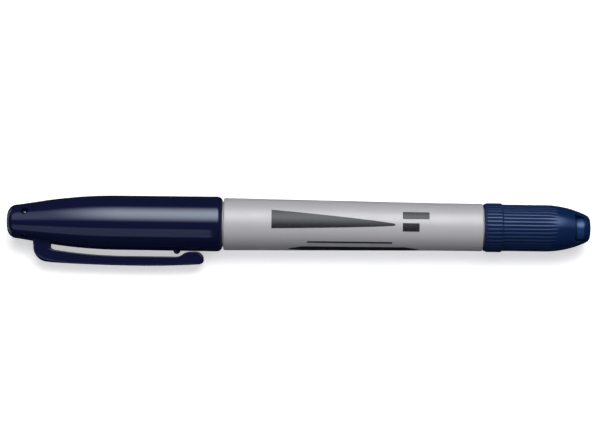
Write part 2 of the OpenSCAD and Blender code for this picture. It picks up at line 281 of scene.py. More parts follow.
def noise(nodes, links, scale, detail=3.0, rough=0.5, stretch=(1, 1, 1)):
    """A noise texture in the marker's frame; scale is in features per metre."""
    where = nodes.new("ShaderNodeTexCoord")
    mapping = nodes.new("ShaderNodeMapping")
    mapping.inputs["Scale"].default_value = stretch
    texture = nodes.new("ShaderNodeTexNoise")
    texture.inputs["Scale"].default_value = scale
    texture.inputs["Detail"].default_value = detail
    texture.inputs["Roughness"].default_value = rough
    links.new(where.outputs["Object"], mapping.inputs["Vector"])
    links.new(mapping.outputs["Vector"], texture.inputs["Vector"])
    return texture.outputs["Fac"]


def spread(nodes, links, value, low, high):
    """Maps a noise value onto a range."""
    node = nodes.new("ShaderNodeMapRange")
    node.inputs["From Min"].default_value = 0.3
    node.inputs["From Max"].default_value = 0.7
    node.inputs["To Min"].default_value = low
    node.inputs["To Max"].default_value = high
    links.new(value, node.inputs["Value"])
    return node.outputs["Result"]


def tint(nodes, links, value, dark, light):
    """Blends two colours by a value from 0 to 1."""
    node = nodes.new("ShaderNodeMix")
    node.data_type = "RGBA"
    node.inputs["A"].default_value = (*dark, 1)
    node.inputs["B"].default_value = (*light, 1)
    links.new(value, node.inputs["Factor"])
    return node.outputs["Result"]


def bump(nodes, links, height, distance, strength, normal=None):
    """A bump of a distance in metres, on top of another if one is given."""
    node = nodes.new("ShaderNodeBump")
    node.inputs["Distance"].default_value = distance
    node.inputs["Strength"].default_value = strength
    links.new(height, node.inputs["Height"])
    if normal:
        links.new(normal, node.inputs["Normal"])
    return node.outputs["Normal"]


def moulded_plastic(name, colour, rough, grain, flow, shift=0.08, specular=0.5, shine=(1, 1, 1)):
    """Moulded plastic: slow flow waves, a fine grain, and slight changes of colour and polish."""
    material, nodes, links, shader = new_material(name)
    slow = noise(nodes, links, scale=90, detail=2, rough=0.4, stretch=(0.35, 1, 1))
    fine = noise(nodes, links, scale=9000, detail=2, rough=0.6)
    wear = noise(nodes, links, scale=700, detail=5, rough=0.65, stretch=(0.5, 1, 1))
    dark = tuple(c * (1 - shift) for c in colour)
    light = tuple(min(1, c * (1 + shift)) for c in colour)
    colours = tint(nodes, links, spread(nodes, links, slow, 0, 1), dark, light)
    links.new(colours, shader.inputs["Base Color"])
    links.new(spread(nodes, links, wear, rough * 0.85, rough * 1.2), shader.inputs["Roughness"])
    waves = bump(nodes, links, slow, 0.2 * MM, flow)
    links.new(bump(nodes, links, fine, 0.01 * MM, grain, waves), shader.inputs["Normal"])
    shader.inputs["Specular IOR Level"].default_value = specular
    shader.inputs["Specular Tint"].default_value = (*shine, 1)
    return material


def math_node(nodes, links, operation, a, b=0.0):
    """One Math node; a and b are sockets or numbers."""
    node = nodes.new("ShaderNodeMath")
    node.operation = operation
    for value, socket in ((a, node.inputs[0]), (b, node.inputs[1])):
        if isinstance(value, (int, float)):
            socket.default_value = value
        else:
            links.new(value, socket)
    return node.outputs[0]


def vector_node(nodes, links, operation, value, constant=(0, 0, 0)):
    """One Vector Math node on a socket and a constant."""
    node = nodes.new("ShaderNodeVectorMath")
    node.operation = operation
    node.inputs[1].default_value = constant
    links.new(value, node.inputs[0])
    return node


def ramp(nodes, links, value, start, end, low, high):
    """Eases from low to high as the value goes from start to end."""
    node = nodes.new("ShaderNodeMapRange")
    node.interpolation_type = "SMOOTHSTEP"
    for name, number in (("From Min", start), ("From Max", end), ("To Min", low), ("To Max", high)):
        node.inputs[name].default_value = number
    links.new(value, node.inputs["Value"])
    return node.outputs["Result"]


def groove_share(nodes, links):
    """0 on the small cap's rib crests and smooth nose, 1 in its grooves and on all that lies deeper."""
    where = nodes.new("ShaderNodeTexCoord")
    place = vector_node(nodes, links, "SUBTRACT", where.outputs["Object"], (CROWN_X, AXIS_Y, AXIS_Z))
    across = vector_node(nodes, links, "MULTIPLY", place.outputs["Vector"], (0, 1, 1))
    reach = vector_node(nodes, links, "LENGTH", across.outputs["Vector"])
    split = nodes.new("ShaderNodeSeparateXYZ")
    links.new(place.outputs["Vector"], split.inputs[0])
    s = split.outputs["X"]
    crest = ramp(nodes, links, s, COLLAR_END * MM, GRIP_START * MM, COLLAR_R * MM, GRIP_R * MM)
    past = math_node(nodes, links, "MAXIMUM", math_node(nodes, links, "SUBTRACT", s, NOSE_S * MM))
    square = math_node(nodes, links, "POWER", past, 2.0)
    drop = math_node(nodes, links, "DIVIDE", square, 2 * NOSE_CURVE_R * MM)
    turned = math_node(nodes, links, "SUBTRACT", crest, drop)
    depth = math_node(nodes, links, "SUBTRACT", turned, reach.outputs["Value"])
    flank = ramp(nodes, links, depth, *GROOVE_EDGE, 0, 1)
    ribbed = ramp(nodes, links, s, *GROOVE_FADE, 1, 0)
    return math_node(nodes, links, "MULTIPLY", flank, ribbed)


def matt_grooves_with_painted_shade(material):
    """Leaves the rib crests polished by handling, and the grooves between them matt, their colour darkened
    by painted shade.
    """
    nodes, links = material.node_tree.nodes, material.node_tree.links
    shader = nodes["Principled BSDF"]
    share = groove_share(nodes, links)
    # The roughness mix makes the grooves matt; the base colour mix paints shade into them.
    changes = (("Roughness", "FLOAT", GROOVE_ROUGH), ("Base Color", "RGBA", GROOVE_PAINTED_SHADE))
    for name, data_type, value in changes:
        socket = shader.inputs[name]
        crest = socket.links[0].from_socket
        node = nodes.new("ShaderNodeMix")
        node.data_type = data_type
        links.new(share, node.inputs["Factor"])
        links.new(crest, node.inputs["A"])
        node.inputs["B"].default_value = value
        links.new(node.outputs["Result"], socket)


def inked_fibre(name, colour):
    """Pressed fibre soaked with ink: fine strands along the marker."""
    material, nodes, links, shader = new_material(name)
    strands = noise(nodes, links, scale=6000, detail=4, rough=0.7, stretch=(0.06, 1, 1))
    dark = tuple(c * 0.5 for c in colour)
    light = tuple(c * 1.8 for c in colour)
    colours = tint(nodes, links, spread(nodes, links, strands, 0, 1), dark, light)
    links.new(colours, shader.inputs["Base Color"])
    links.new(spread(nodes, links, strands, 0.55, 0.85), shader.inputs["Roughness"])
    links.new(bump(nodes, links, strands, 0.04 * MM, 0.7), shader.inputs["Normal"])
    shader.inputs["Sheen Weight"].default_value = 0.3
    return material


def clear_film(name):
    """A thin clear wrap round the fibre core."""
    material, nodes, links, shader = new_material(name)
    creases = noise(nodes, links, scale=500, detail=4, rough=0.6, stretch=(0.2, 1, 1))
    colours = tint(nodes, links, creases, (0.80, 0.83, 0.87), (0.9, 0.92, 0.95))
    links.new(colours, shader.inputs["Base Color"])
    links.new(bump(nodes, links, creases, 0.04 * MM, 0.5), shader.inputs["Normal"])
    shader.inputs["Roughness"].default_value = 0.15
    shader.inputs["Alpha"].default_value = 0.35
    return material


def printed_ink(name):
    """Pad-printed ink: near black, slightly uneven in cover and polish."""
    material, nodes, links, shader = new_material(name)
    cover = noise(nodes, links, scale=2500, detail=4, rough=0.6)
    dark, light = (0.006, 0.006, 0.008), (0.022, 0.022, 0.026)
    colours = tint(nodes, links, spread(nodes, links, cover, 0, 1), dark, light)
    links.new(colours, shader.inputs["Base Color"])
    links.new(spread(nodes, links, cover, 0.3, 0.42), shader.inputs["Roughness"])
    links.new(bump(nodes, links, cover, 0.01 * MM, 0.3), shader.inputs["Normal"])
    shader.inputs["Specular IOR Level"].default_value = 0.4
    return material


CAP_PLASTIC = moulded_plastic(
    "cap_plastic", (0.0062, 0.0080, 0.035), rough=0.06, grain=0.02, flow=0.05,
    specular=0.6, shine=(0.84, 0.9, 1))
GRIP_PLASTIC = moulded_plastic(
    "grip_plastic", (0.0045, 0.017, 0.066), rough=0.18, grain=0.1, flow=0.05, shine=(0.5, 0.65, 1))
matt_grooves_with_painted_shade(GRIP_PLASTIC)
LINER_PLASTIC = moulded_plastic(
    "liner_plastic", (0.011, 0.038, 0.12), rough=0.24, grain=0.05, flow=0.05, shine=(0.55, 0.72, 1))
BARREL_PLASTIC = moulded_plastic(
    "barrel_plastic", (0.46, 0.45, 0.46), rough=0.4, grain=0.15, flow=0.05, shift=0.02, specular=0.75)
SECTION_PLASTIC = moulded_plastic(
    "section_plastic", (0.36, 0.36, 0.39), rough=0.4, grain=0.2, flow=0.06, shift=0.03)
FERRULE_PLASTIC = moulded_plastic(
    "ferrule_plastic", (0.6, 0.61, 0.63), rough=0.3, grain=0.1, flow=0.04, shift=0.03)
NIB_FIBRE = inked_fibre("nib_fibre", (0.005, 0.01, 0.06))
CORE_FIBRE = inked_fibre("reservoir_fibre", (0.008, 0.015, 0.09))
FILM = clear_film("reservoir_film")
PRINT = printed_ink("print_ink")


def finish_piece(piece, material, body, replaced=()):
    """Gives a piece its material and body, and hides the CAD nodes that it stands in for."""
    piece.data.materials.clear()
    piece.data.materials.append(material)
    if body:
        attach(piece, body)
    if replaced:
        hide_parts(*replaced)


# ---------------------------------------------------------------- barrel
BARREL_THIN_R = 5.7
BARREL_THIN_L = 9.5
BARREL_START = CAP_L + 0.25
BARREL_END = SMALL_S - 0.2
FINE_NECK_R = CAP_R - 1.15
ULTRA_NECK_R = 4.8
BORE_R = 4.6
ULTRA_BORE_R = 3.95


def barrel_at(s):
    """Outer radius of the barrel: a long taper, then a straight end."""
    taper_end = BARREL_END - BARREL_THIN_L
    share = min(1, (s - BARREL_START) / (taper_end - BARREL_START))
    return BARREL_R + (BARREL_THIN_R - BARREL_R) * share


def barrel():
    """The barrel's tube, with a neck at each end and a low bead on each neck that a cap snaps over."""
    bead = 0.1
    neck = FINE_NECK_R - bead
    ultra_neck = ULTRA_NECK_R - 0.08
    taper_s = BARREL_START + 2
    profile = rounded([
        (BARREL_L0, BORE_R + 0.1), (BARREL_L0, neck, 0.3), (BARREL_L0 + 3.0, neck, 0.2),
        (BARREL_L0 + 3.4, neck + bead, 0.2), (BARREL_L0 + 4.0, neck + bead, 0.2),
        (BARREL_L0 + 4.4, neck, 0.2), (BARREL_START, neck), (BARREL_START, BARREL_R, 0.5),
        (taper_s, barrel_at(taper_s)), (BARREL_END - BARREL_THIN_L, BARREL_THIN_R),
        (BARREL_END - 1.5, BARREL_THIN_R), (BARREL_END, BARREL_THIN_R, 0.45), (BARREL_END, ultra_neck),
        (BARREL_END + 2.2, ultra_neck, 0.2), (BARREL_END + 2.5, ULTRA_NECK_R, 0.15),
        (BARREL_END + 3.0, ULTRA_NECK_R, 0.15), (BARREL_END + 3.3, ultra_neck, 0.2),
        (BARREL_L1, ultra_neck, 0.3), (BARREL_L1, ULTRA_BORE_R), (BARREL_L1 - 7, ULTRA_BORE_R),
        (BARREL_L1 - 8, BORE_R), (BARREL_L0, BORE_R)
    ], 5)
    finish_piece(lathe("barrel_tube", profile), BARREL_PLASTIC, "barrel_body", ["barrel"])


INK_LIFT = 0.03


def ink_patch(bm, place, along, across):
    """A thin layer of ink raised on the barrel. place(u, v) gives its station and its arc length."""
    layers = []
    for height in (INK_LIFT, -INK_LIFT):
        rows = []
        for i in range(along + 1):
            row = []
            for j in range(across + 1):
                s, w = place(i / along, j / across)
                r = barrel_at(s) + height
                a = w / barrel_at(s)
                row.append(bm.verts.new((s, r * math.sin(a), r * math.cos(a))))
            rows.append(row)
        layers.append(rows)
    for rows in layers:
        for i in range(along):
            for j in range(across):
                bm.faces.new((rows[i][j], rows[i + 1][j], rows[i + 1][j + 1], rows[i][j + 1]))
    top, low = layers
    rim = [(i, 0) for i in range(along)] + [(along, j) for j in range(across)]
    rim += [(i, across) for i in range(along, 0, -1)] + [(0, j) for j in range(across, 0, -1)]
    for (i, j), (k, m) in zip(rim, rim[1:] + rim[:1]):
        bm.faces.new((top[i][j], top[k][m], low[k][m], low[i][j]))


def barrel_print():
    """Generic print: a stroke that thins from the fine end to the ultra-fine end, and plain bars."""
    bm = bmesh.new()

    def stroke(u, v):
        start, length, middle, drop = 63.5, 29.5, 1.5, 1.1
        width = 4.2 * (1 - u) ** 0.8 + 0.45
        return start + length * u, middle - drop * u + (v - 0.5) * width

    def pointed_bar(u, v):
        start, length, middle = 67.6, 31.2, -7.2
        width = 2.4 * min(1, 8 * u + 0.15, 8 * (1 - u) + 0.15)
        return start + length * u, middle + (v - 0.5) * width

    def bar(start, end, low, high):
        return lambda u, v: (start + (end - start) * u, low + (high - low) * v)

    ink_patch(bm, stroke, 60, 6)
    ink_patch(bm, bar(start=94.8, end=101.2, low=1.8, high=3.7), 6, 3)
    ink_patch(bm, bar(start=94.8, end=98.8, low=-1.2, high=0.8), 6, 3)
    ink_patch(bm, bar(start=72, end=92.4, low=-4.6, high=-4.1), 40, 1)
    ink_patch(bm, pointed_bar, 64, 4)
    piece = make_piece("barrel_print", bm)
    finish_piece(piece, PRINT, "barrel_body")


def reservoir():
    """The fibre core and its film keep their CAD meshes, with materials of their own."""
    for node, material in (("ink_reservoir", CORE_FIBRE), ("reservoir_film", FILM)):
        carried = frame["nodes"][node]
        carried.data.materials.clear()
        carried.data.materials.append(material)


# ---------------------------------------------------------------- tips under the caps
FINE_NIB_R = 1.35
ULTRA_NIB_R = 0.4
FERRULE_R = 0.85
LAND_R = 4.0
ULTRA_LAND_R = 3.3


def fine_tip():
    """The cone-shaped section that plugs the barrel's fine end, and its nib."""
    nose, plug = stations("fine_tip_section")
    neck = BARREL_L0
    flange_r = BORE_R + 0.4
    back_bore_r = FINE_NIB_R + 1.4
    profile = rounded([
        (nose, FINE_NIB_R), (nose, FINE_NIB_R + 0.5, 0.15), (nose + 2, FINE_NIB_R + 0.7, 1.5),
        (nose + 7.6, LAND_R - 0.1, 0.3), (nose + 8.2, LAND_R, 0.3), (neck - 1, LAND_R, 0.3),
        (neck - 1, flange_r, 0.15), (neck, flange_r), (neck, BORE_R), (plug - 0.4, BORE_R),
        (plug, BORE_R - 0.4), (plug, back_bore_r), (plug - 2, back_bore_r), (plug - 4, FINE_NIB_R)
    ], 6)
    piece = lathe("fine_section", profile, 96)
    finish_piece(piece, SECTION_PLASTIC, "barrel_body", ["fine_tip_section"])

    tip, tail = stations("fine_nib")
    point = 0.6
    profile = [(tip, 0)] + arc(tip + point, 0, point, 170, 112, 6)
    profile += rounded([
        (tip + 0.5, point + 0.02), (tip + 3.2, FINE_NIB_R, 1.5), (tail - 0.3, FINE_NIB_R),
        (tail, FINE_NIB_R - 0.3), (tail, 0)
    ], 6)
    finish_piece(lathe("fine_nib_rod", profile, 64), NIB_FIBRE, "barrel_body", ["fine_nib"])


def ultra_fine_tip():
    """The ultra-fine end: its section, the ferrule in the section, and the nib in the ferrule."""
    plug, nose = stations("ultra_fine_section")
    neck = BARREL_L1
    land = neck + 0.8
    cone = land + 4.2
    plug_r, flange_r, back_bore_r = 3.9, 4.5, 2.6
    nib_bore_r = ULTRA_NIB_R + 0.1
    profile = rounded([
        (plug, back_bore_r), (plug, 3.5), (plug + 0.4, plug_r), (neck, plug_r), (neck, flange_r),
        (land, flange_r, 0.15), (land, ULTRA_LAND_R, 0.2), (cone - 0.2, ULTRA_LAND_R, 0.25),
        (cone + 0.2, ULTRA_LAND_R - 0.15, 0.2), (nose, FERRULE_R + 0.4, 0.15), (nose, FERRULE_R),
        (nose - 4, FERRULE_R), (nose - 4, nib_bore_r), (plug + 7, nib_bore_r), (plug + 5, back_bore_r)
    ], 5)
    piece = lathe("ultra_section", profile, 96)
    finish_piece(piece, SECTION_PLASTIC, "barrel_body", ["ultra_fine_section"])

    start, end = stations("ultra_fine_ferrule")
    profile = rounded([
        (start, ULTRA_NIB_R), (start, FERRULE_R), (end - 1.2, FERRULE_R, 0.5),
        (end, ULTRA_NIB_R + 0.12, 0.08), (end, ULTRA_NIB_R)
    ], 5)
    piece = lathe("ultra_ferrule", profile, 64)
    finish_piece(piece, FERRULE_PLASTIC, "barrel_body", ["ultra_fine_ferrule"])

    tail, tip = stations("ultra_fine_nib")
    profile = rounded([
        (tail, 0), (tail, ULTRA_NIB_R), (tip - 0.7, ULTRA_NIB_R, 0.3), (tip - 0.1, 0.17, 0.12), (tip, 0)
    ], 4)
    piece = lathe("ultra_nib_rod", profile, 48)
    finish_piece(piece, NIB_FIBRE, "barrel_body", ["ultra_fine_nib"])


# ---------------------------------------------------------------- main cap
CURVE_R = 116
STRAIGHT_S = 27
CROWN_ROUND = 2.35
CONE_S = 7
CONE_SLOPE = 0.16
CAP_DRAFT = 0.07
PIP_S = 4.4
PIP_PHASE = 9.2
PIP_HOLE_R = 0.9
PIP_LUG_R = 0.6
CROWN_HOLLOW_R = 3.2
LINER_T = 0.75
NUB_S = 40.8
NUB_R = 0.85
NUB_W = 2.6
NUB_STEPS = 16


def cap_curve(s):
    """Outer radius on the main cap's long curve."""
    return CAP_R - CAP_DRAFT - CURVE_R + math.sqrt(CURVE_R ** 2 - (STRAIGHT_S - s) ** 2)


def cap_at(s):
    """Outer radius of the main cap: a cone behind the crown, a long curve, then a slight draft."""
    if s < CONE_S:
        return cap_curve(CONE_S) - (CONE_S - s) * CONE_SLOPE
    if s < STRAIGHT_S:
        return cap_curve(s)
    return CAP_R - CAP_DRAFT * (CAP_L - s) / (CAP_L - STRAIGHT_S)


def pip_directions():
    """Directions from the axis to the crown's four holes."""
    angles = [math.radians(a + PIP_PHASE) for a in (45, 135, 225, 315)]
    return [Vector((0, -math.sin(a), math.cos(a))) for a in angles]


def main_cap():
    """The long cap's body, hollow and with four holes in its crown, and the stop for the clip."""
    curve_s = CROWN_ROUND + 0.4
    crown_r = cap_at(curve_s) - CROWN_ROUND - 0.05
    bore = CAP_R - 1.1
    hollow = 5.2
    mouth = 1.3
    crown_wall = 1.4
    draft_end = 47
    profile = [(0, 0)] + arc(CROWN_ROUND, crown_r, CROWN_ROUND, 180, 98, 14)
    profile += [(s, cap_at(s)) for s in (curve_s, CONE_S - 2.2, CONE_S - 0.6)]
    profile += [(s, cap_at(s)) for s in [CONE_S + 0.4 + (STRAIGHT_S - CONE_S) * i / 32 for i in range(33)]]
    profile += [(s, cap_at(s)) for s in range(STRAIGHT_S + 5, draft_end + 1, 5)]
    profile += arc(CAP_L - mouth, CAP_R - mouth, mouth, 90, 15, 9)
    profile += rounded([
        (CAP_L, bore + 0.1), (CAP_L - 0.2, bore), (BARREL_L0 - 3.7, bore, 0.1),
        (BARREL_L0 - 4, hollow, 0.1), (26, hollow, 8), (19, 5, 8), (12.5, 4.3, 3), (6, CROWN_HOLLOW_R, 1.5),
        (crown_wall, CROWN_HOLLOW_R, 0.3), (crown_wall, 0)
    ], 5)
    piece = lathe("main_cap_body", profile, 192, closed=False)
    cutters = bmesh.new()
    for out in pip_directions():
        centre = Vector((PIP_S, 0, 0))
        add_cylinder(cutters, centre + out * 2.6, centre + out * 5.6, PIP_HOLE_R)
    cut_away(piece, cutters)
    finish_piece(piece, CAP_PLASTIC, "main_cap", ["main_cap_shell"])
    clip_stop()


def clip_stop():
    """A rounded half-drum on the cap under the clip, sunk a little into the cap's wall."""
    foot = 0.15 - cap_at(NUB_S)
    bm = bmesh.new()
    rows = []
    for i in range(NUB_STEPS + 1):
        across = math.pi * i / NUB_STEPS
        z = -NUB_W / 2 * math.cos(across)
        reach = NUB_R * min(1, math.sqrt(max(0.0, 1 - abs(math.cos(across)) ** 6)))
        angles = [math.pi * k / NUB_STEPS for k in range(NUB_STEPS + 1)]
        rows.append([
            bm.verts.new((NUB_S + reach * math.cos(a), foot - reach * math.sin(a) * 1.08, z)) for a in angles
        ])
    skin(bm, rows, capped=False)
    bmesh.ops.remove_doubles(bm, verts=bm.verts, dist=1e-4)
    finish_piece(make_piece("clip_stop_nub", bm, 50), CAP_PLASTIC, "main_cap")


def main_cap_liner():
    """Inner seal cap, with four round lugs that show in the crown's holes."""
    nose = CROWN_HOLLOW_R - 0.05
    start, mouth = stations("main_cap_liner")
    skirt = LAND_R + 0.8
    seal = LAND_R + 0.05
    waist = 4.2
    profile = rounded([
        (start, 0), (start, nose, 0.2), (6, nose, 1.5), (12.5, waist, 3), (19, skirt, 2),
        (mouth, skirt, 0.2), (mouth, seal, 0.2), (19, seal, 2), (12.7, waist - LINER_T, 3),
        (6.2, nose - LINER_T, 1.5), (start + LINER_T, nose - LINER_T, 0.3), (start + LINER_T, 0)
    ], 5)
    bm = add_lathe(bmesh.new(), profile, 96, closed=False)
    dome = [(math.sin(t), math.cos(t)) for t in (0, 0.3, 0.6, 0.9, 1.2, 1.45)]
    levels = [(nose - 0.3, PIP_LUG_R), (nose + 0.55, PIP_LUG_R)]
    levels += [(nose + 0.7 + 0.3 * rise, PIP_LUG_R * share) for rise, share in dome]
    side = Vector((1, 0, 0))
    for out in pip_directions():
        foot = Vector((PIP_S, 0, 0))
        skin(bm, [circle(bm, foot + out * height, side, out.cross(side), r, 28) for height, r in levels])
    piece = make_piece("main_cap_seal", bm)
    finish_piece(piece, CAP_PLASTIC, "main_cap", ["main_cap_liner"])


# ---------------------------------------------------------------- clip
CLIP_W = 4.6
CLIP_OUT = 10.25
CLIP_T = 2.25
CLIP_TIP_S = stations("clip_arm")[1]
CLIP_EDGE = 0.4
CLIP_EDGE_INSIDE = 0.12
BRIDGE_EDGE = 1.1
BOW_S = 32
BOW_R = 420
BOW_TIP_R = 200
UNDER_S = 28.5
UNDER_R = 117
BALL_R = 3.2
BALL_S = CLIP_TIP_S - 3.05
BALL_GAP = 0.1
SHOULDER_R = 1.95
TIP_R = 1.05
BRIDGE_S = 6.38
BRIDGE_ROUND = 3.6
BRIDGE_SIDE_D = 6
BRIDGE_FOOT_D = 3.8
SLOT_S = 10.33
SLOT_ROUND = 0.6


def clip_outer(s):
    """Distance from the axis of the clip's bowed outer face."""
    return CLIP_OUT - (s - BOW_S) ** 2 / (2 * (BOW_R if s < BOW_S else BOW_TIP_R))


def clip_under(s):
    """Distance from the axis of the clip's underside."""
    return CLIP_OUT - CLIP_T - (max(0, UNDER_S - s) ** 2) / (2 * UNDER_R)


def clip_outline():
    """The clip and its bridge in profile, as (s, distance, edge rounding) points."""
    tip_s = CLIP_TIP_S - TIP_R
    shoulder = (CLIP_TIP_S - SHOULDER_R, CAP_R + BALL_GAP + SHOULDER_R)
    ball = (BALL_S, CAP_R + BALL_GAP + BALL_R)
    top_s = BRIDGE_S + BRIDGE_ROUND + 1.2
    points = [(BRIDGE_S, BRIDGE_FOOT_D + 0.4 * i) for i in range(6)]
    points += arc(BRIDGE_S + BRIDGE_ROUND, BRIDGE_SIDE_D, BRIDGE_ROUND, 180, 96, 20)
    points += [(s, clip_outer(s)) for s in [top_s + (tip_s - top_s) * i / 40 for i in range(41)]]
    points += arc(tip_s, clip_outer(tip_s) - TIP_R, TIP_R, 80, 0, 10)
    n_outside = len(points)
    points += arc(*shoulder, SHOULDER_R, 0, -90, 14)
    points += arc(*ball, BALL_R, 268, 230, 12)
    foot = Vector(points[-1])
    under = clip_under(BALL_S)
    bend = Vector((foot.x - (under - foot.y) * 1.05, under))
    end = Vector((BALL_S - 3.9, under))
    for i in range(1, 9):
        t = i / 8
        points.append(tuple(foot * (1 - t) ** 2 + bend * 2 * t * (1 - t) + end * t * t))
    last = SLOT_S + 0.8
    points += [(s, clip_under(s)) for s in [end.x + (last - end.x) * i / 36 for i in range(1, 37)]]
    points += arc(SLOT_S + SLOT_ROUND, clip_under(SLOT_S) - SLOT_ROUND, SLOT_ROUND, 115, 180, 7)
    points += [(SLOT_S, 5.6), (SLOT_S, 5.1), (SLOT_S, 4.5)]
    edges = []
    for i, (s, d) in enumerate(points):
        bridge = smooth((BRIDGE_S + 9 - s) / 8)
        outside = CLIP_EDGE + (BRIDGE_EDGE - CLIP_EDGE) * bridge
        inside = max(smooth((i - n_outside) / 14), smooth((6 - d) / 1.2) * bridge)
        edges.append(outside + (CLIP_EDGE_INSIDE - outside) * inside)
    return [(*point, edge) for point, edge in zip(points, edges)]


def add_plate(bm, outline, width, steps=5):
    """A plate across the marker with the given outline; each point's edge has its own rounding."""
    n = len(outline)
    flat = [Vector(corner[:2]) for corner in outline]
    inward = []
    area = sum(flat[i].x * flat[(i + 1) % n].y - flat[(i + 1) % n].x * flat[i].y for i in range(n))
    turn = 1 if area > 0 else -1
    for i in range(n):
        before = (flat[i] - flat[i - 1]).normalized()
        after = (flat[(i + 1) % n] - flat[i]).normalized()
        normal = (Vector((-before.y, before.x)) + Vector((-after.y, after.x))) * turn
        inward.append(normal.normalized() / max(0.5, math.cos(before.angle(after, 0) / 2)))
    curve = [math.pi / 2 * k / steps for k in range(steps + 1)]
    levels = [(0, 1.25)] + [(1 - math.cos(t), 1 - math.sin(t)) for t in curve]
    loops = []
    for side in (1, -1):
        for down, inset in levels if side > 0 else reversed(levels):
            loop = []
            for point, lean, (*_, edge) in zip(flat, inward, outline):
                place = point + lean * inset * edge
                loop.append(bm.verts.new((place.x, -place.y, side * (width / 2 - down * edge))))
            loops.append(loop)
    skin(bm, loops)


def clip():
    """The clip and its bridge in one piece, left in place with no body of its own."""
    bm = bmesh.new()
    add_plate(bm, clip_outline(), CLIP_W)
    piece = make_piece("clip_spring", bm, 40)
    finish_piece(piece, CAP_PLASTIC, None, ["clip_arm"])
    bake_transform(piece)


# ---------------------------------------------------------------- small cap
NOSE_ROUND = 1.6
HOLLOW_R = 4.35
NOSE_HOLLOW_R = 3.05
NOSE_HOLLOW_S = OVERALL - 3.5
NOSE_NECK_S = OVERALL - 5.2
END_S = OVERALL - 1.1
WINDOW_S = OVERALL - 3.9
WINDOW_L = 2.5
WINDOW_DEPTH = 1.3
WINDOW_SLANT = 0.4
WINDOW_LEDGE = 0.25
WINDOW_BOTTOM = 1
WINDOW_HALF_A = math.radians(49.5)
WINDOW_STEPS = 24
SEAL_GROOVE_S = NOSE_HOLLOW_S + 0.12
SEAL_GROOVE_D = 0.06


def rib_radius(s, r, a):
    """Shapes the round ribs: the turned body or the rib's arc, whichever is nearer the axis."""
    crest_r = COLLAR_R if s < COLLAR_END + 0.1 else GRIP_R
    half = math.pi * crest_r / RIBS
    curve_r = (half ** 2 + RIB_DEPTH ** 2) / (2 * RIB_DEPTH)
    offset = (a * RIBS / (2 * math.pi) % 1 - 0.5) * 2 * half
    rib = crest_r - curve_r + math.sqrt(curve_r ** 2 - offset ** 2)
    past_lip = smooth((s - SMALL_S - LIP_L + 0.2) / 0.2)
    lip_r = crest_r - RIB_DEPTH
    return min(r, lip_r + (rib - lip_r) * past_lip)


def nose_at(s):
    """Outer radius of the small cap's nose."""
    return GRIP_R - NOSE_CURVE_R + math.sqrt(NOSE_CURVE_R ** 2 - (s - NOSE_S) ** 2)


def add_window(bm, side):
    """A block that cuts one window straight down: a slanting near side and a far side with a ledge."""
    outside = nose_at(WINDOW_S) + 1
    inside = nose_at(WINDOW_S) - WINDOW_DEPTH
    near = WINDOW_S + WINDOW_DEPTH * WINDOW_SLANT
    end = WINDOW_S + WINDOW_L
    ledge_r = nose_at(end) - 0.02
    profile = [
        (near, 0), (near, inside), (WINDOW_S - WINDOW_SLANT, outside), (end, outside),
        (end, ledge_r - 0.06), (end - WINDOW_LEDGE, ledge_r), (end - WINDOW_LEDGE, 0)
    ]
    slices = []
    for i in range(WINDOW_STEPS + 1):
        loop = []
        for k, (s, r) in enumerate(profile):
            y = nose_at(s) * math.sin(WINDOW_HALF_A) * (2 * i / WINDOW_STEPS - 1)
            floor_z = WINDOW_BOTTOM + 0.02 * min(k, len(profile) - 1 - k)
            loop.append(bm.verts.new((s, y * side, math.sqrt(max(floor_z ** 2, r * r - y * y)) * side)))
        slices.append(loop)
    skin(bm, slices)


def small_cap():
    """The short cap's body: a ribbed collar and grip, a smooth nose, and a window on each side of it."""
    bore = ULTRA_NECK_R + 0.05
    round_s = OVERALL - NOSE_ROUND
    reach = NOSE_CURVE_R - NOSE_ROUND
    round_r = GRIP_R - NOSE_CURVE_R + math.sqrt(reach ** 2 - (round_s - NOSE_S) ** 2)
    round_a = math.degrees(math.acos((round_s - NOSE_S) / reach))
    nose_end = round_s + NOSE_ROUND * math.cos(math.radians(round_a))
    lip_r = COLLAR_R - RIB_DEPTH
    profile = rounded([
        (SMALL_S, bore + 0.3, 0.1), (SMALL_S, lip_r - 0.02, 0.5), (SMALL_S + LIP_L - 0.1, lip_r + 0.01)
    ], 6)
    lip = [(LIP_L - 0.05, 0.5), (LIP_L, 0.8), (LIP_L + 0.1, 0.95), (LIP_L + 0.25, 1), (2, 1), (3.2, 1)]
    profile += [(SMALL_S + ds, COLLAR_R - RIB_DEPTH * (1 - up)) for ds, up in lip]
    profile += [
        (COLLAR_END - 0.18, COLLAR_R), (COLLAR_END - 0.05, COLLAR_R - 0.04), (COLLAR_END, COLLAR_R - 0.12),
        (GRIP_START - 0.2, GRIP_R + 0.03), (GRIP_START, GRIP_R), (GRIP_START + 3, GRIP_R),
        (NOSE_S - 4, GRIP_R)
    ]
    profile += [(s, nose_at(s)) for s in [NOSE_S + (nose_end - NOSE_S) * i / 34 for i in range(34)]]
    profile += arc(round_s, round_r, NOSE_ROUND, round_a, 8, 9)
    profile += [(OVERALL - 0.02, round_r - 0.4), (OVERALL, round_r - 1.1), (OVERALL, 0)]
    profile += [(END_S, 0)] + rounded([
        (END_S, 1), (END_S, NOSE_HOLLOW_R), (NOSE_HOLLOW_S, NOSE_HOLLOW_R), (NOSE_NECK_S, 4),
        (GRIP_END, HOLLOW_R), (BARREL_L1 + 0.8, HOLLOW_R), (BARREL_L1 + 0.3, bore), (SMALL_S + 0.4, bore)
    ], 3)
    piece = lathe("small_cap_body", profile, RIBS * RIB_STEPS, radius=rib_radius)
    cutter = bmesh.new()
    add_window(cutter, 1)
    add_window(cutter, -1)
    cut_away(piece, cutter)
    finish_piece(piece, GRIP_PLASTIC, "small_cap", ["small_cap_shell"])


